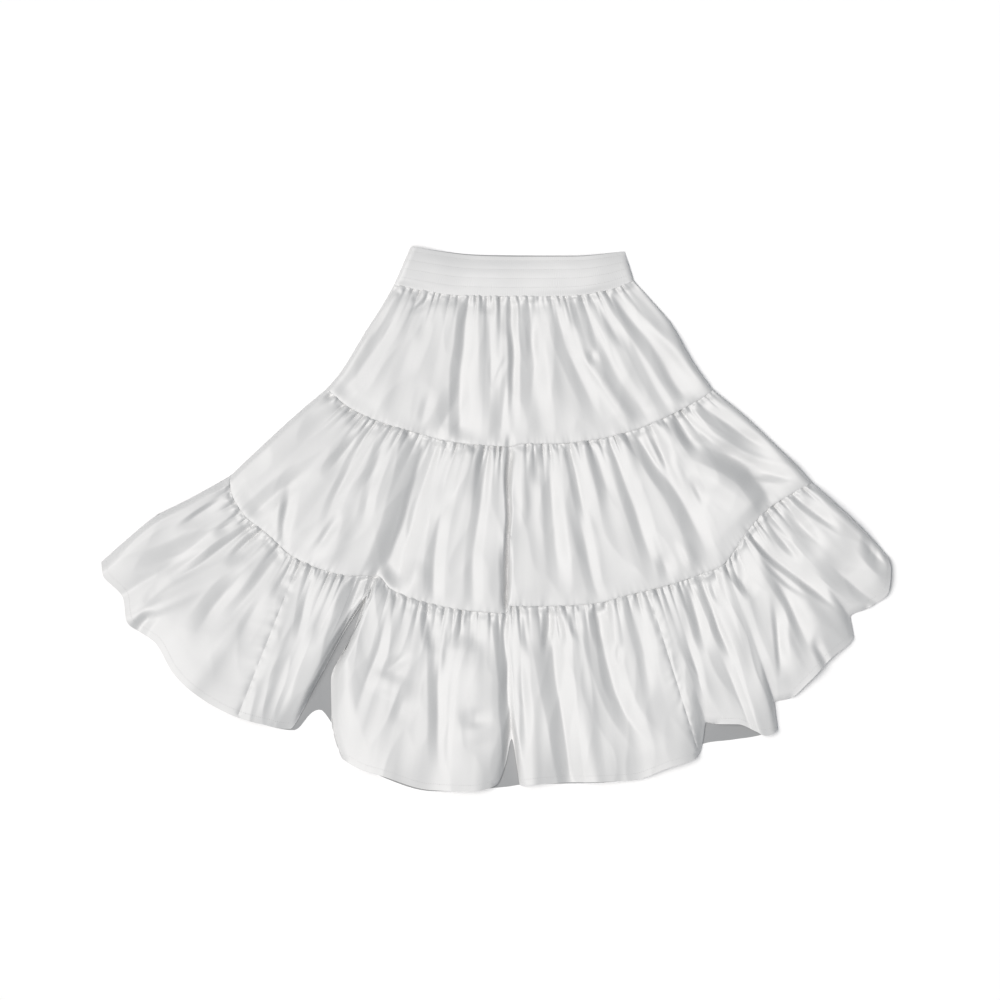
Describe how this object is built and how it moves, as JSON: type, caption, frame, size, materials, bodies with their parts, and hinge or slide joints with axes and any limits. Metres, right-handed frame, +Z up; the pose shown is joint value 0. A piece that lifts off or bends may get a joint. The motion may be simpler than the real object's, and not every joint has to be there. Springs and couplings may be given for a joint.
{
  "type": "tiered ruffle skirt",
  "caption": "Midi skirt of gathered satin tiers on a wide elastic waistband, laid flat with its hem fanned out.",
  "frame": {"origin": "middle of the skirt's length and width as it lies, on the surface under it", "axes": "+X to the wearer's left across the spread hem, +Y from hem to waist, +Z up from the surface"},
  "size_m": [1.104, 0.7644, 0.0261],
  "materials": {
    "band_cloth": "white satin over wide elastic, sewn through in rows",
    "satin": "soft white satin, duller inside"
  },
  "bodies": {
    "root": {"waistband_front": "band_cloth", "waistband_back": "band_cloth", "tier_1_front": "satin", "tier_1_back": "satin", "tier_2_front": "satin", "tier_2_back": "satin", "tier_3_front_left": "satin", "tier_3_front_middle": "satin", "tier_3_front_right": "satin", "tier_3_back": "satin"}
  },
  "joints": []
}
